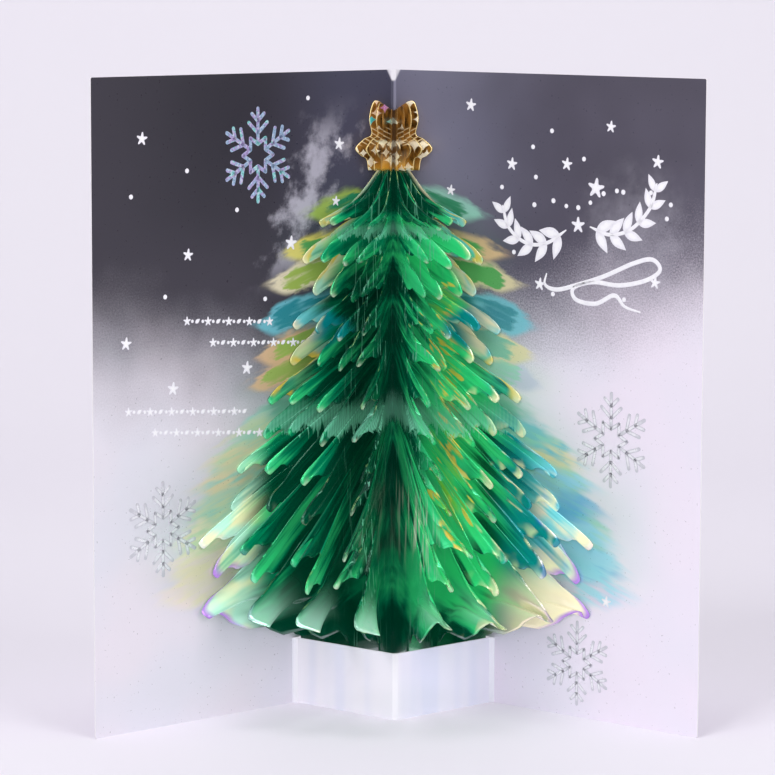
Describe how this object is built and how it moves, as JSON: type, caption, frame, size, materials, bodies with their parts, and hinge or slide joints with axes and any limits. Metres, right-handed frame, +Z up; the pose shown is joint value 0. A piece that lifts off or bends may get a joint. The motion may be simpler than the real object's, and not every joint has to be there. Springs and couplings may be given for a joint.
{
  "type": "pop-up card",
  "caption": "Greeting card standing open on its edge, with a strip popped forward at the foot and a fan of folded film leaves that makes a fir tree with a star on top.",
  "frame": {"origin": "middle of the object's footprint, at the height of the surface it stands on", "axes": "+Z up, -Y towards the reader, where the panels open, +X to the reader's right"},
  "size_m": [0.1834, 0.0818, 0.2],
  "materials": {
    "printed_card": "printed gloss card with a silver face, night sky fading to pale below",
    "green_film": "see-through green film with a shifting sheen",
    "gold_film": "mirror gold film with small sparkles"
  },
  "bodies": {
    "root": {"card": "printed_card", "tree_sheet_1": "green_film", "tree_sheet_2": "green_film", "tree_sheet_3": "green_film", "tree_sheet_4": "green_film", "tree_sheet_5": "green_film", "tree_sheet_6": "green_film", "tree_sheet_7": "green_film", "star_sheet_1": "gold_film", "star_sheet_2": "gold_film", "star_sheet_3": "gold_film", "star_sheet_4": "gold_film", "star_sheet_5": "gold_film", "star_sheet_6": "gold_film", "star_sheet_7": "gold_film"}
  },
  "joints": []
}
